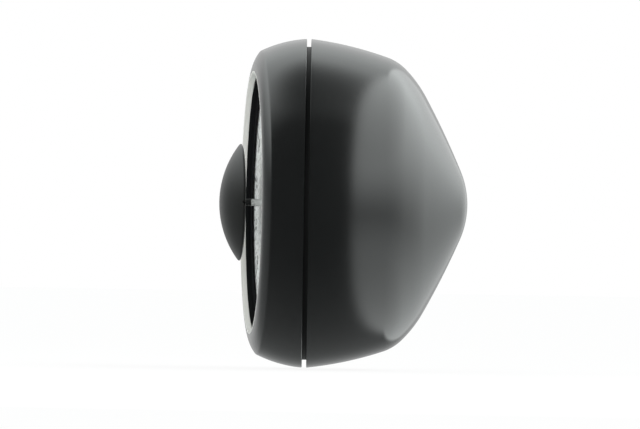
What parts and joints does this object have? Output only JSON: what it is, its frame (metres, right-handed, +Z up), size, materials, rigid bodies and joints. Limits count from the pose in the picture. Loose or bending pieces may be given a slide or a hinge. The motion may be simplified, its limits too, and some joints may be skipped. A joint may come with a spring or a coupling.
{
  "type": "wind-up desk timer",
  "caption": "Round wind-up desk timer with a dark two-shell body, a recessed pale dial and a domed winding knob over a geared movement with a bell.",
  "frame": {"origin": "centre of the seam between the two shells, on the housing axis", "axes": "+X from the dial towards the nose, along the housing axis; +Z up; the dial leans towards -Y"},
  "size_m": [0.0566, 0.075, 0.075],
  "materials": {
    "soft_touch": "dark soft-touch coat",
    "black": "fine matte black",
    "pale_ring": "pale grey satin",
    "dial": "white, slightly glossy, printed scale",
    "steel": "plain steel",
    "spring": "blued spring strip",
    "brass": "plain brass"
  },
  "bodies": {
    "case": {"rear_shell": "soft_touch", "front_shell": "soft_touch", "mouth_ring": "pale_ring", "bezel_ring": "black", "dial_plate": "dial", "front_plate": "steel", "back_plate": "steel", "pillar_1": "brass", "pillar_2": "brass", "pillar_3": "brass", "plate_screw_1": "steel", "plate_screw_2": "steel", "plate_screw_3": "steel", "mainspring": "spring", "spring_post": "steel", "bell": "steel", "bell_post": "steel", "hammer_stud": "steel"},
    "winder": {"knob": "soft_touch", "spindle": "steel", "great_wheel": "brass"},
    "second": {"second_wheel": "brass", "second_pinion": "steel", "second_arbor": "steel"},
    "escape": {"escape_wheel": "brass", "escape_pinion": "steel", "escape_arbor": "steel"},
    "pallet": {"pallet_lever": "steel", "pallet_arbor": "steel"},
    "hammer": {"hammer": "brass"}
  },
  "joints": [
    {"name": "winder_turn", "type": "hinge", "parent": "case", "child": "winder", "pos_m": [0, 0, 0], "axis": [0.9963, 0.0863, 0], "range_deg": [0, 330]},
    {"name": "second_turn", "type": "hinge", "parent": "case", "child": "second", "pos_m": [-0.00076, 0.00873, 0.01517], "axis": [0.9963, 0.0863, 0], "range_deg": [-1590, 6]},
    {"name": "escape_turn", "type": "hinge", "parent": "case", "child": "escape", "pos_m": [-0.00157, 0.01812, 0.00335], "axis": [0.9963, 0.0863, 0], "range_deg": [-24, 6360]},
    {"name": "pallet_rock", "type": "hinge", "parent": "case", "child": "pallet", "pos_m": [-0.00141, 0.01628, -0.00711], "axis": [0.9963, 0.0863, 0], "range_deg": [-4, 4]},
    {"name": "hammer_swing", "type": "hinge", "parent": "case", "child": "hammer", "pos_m": [0.00989, -0.00992, 0.01771], "axis": [0.9963, 0.0863, 0], "range_deg": [0, 7.5], "stiffness_Nm_per_rad": 0.01, "springref_deg": -2.86}
  ],
  "couplings": [
    {"joint": "second_turn", "follows": "winder_turn", "ratio": -4.8},
    {"joint": "escape_turn", "follows": "winder_turn", "ratio": 19.2}
  ]
}
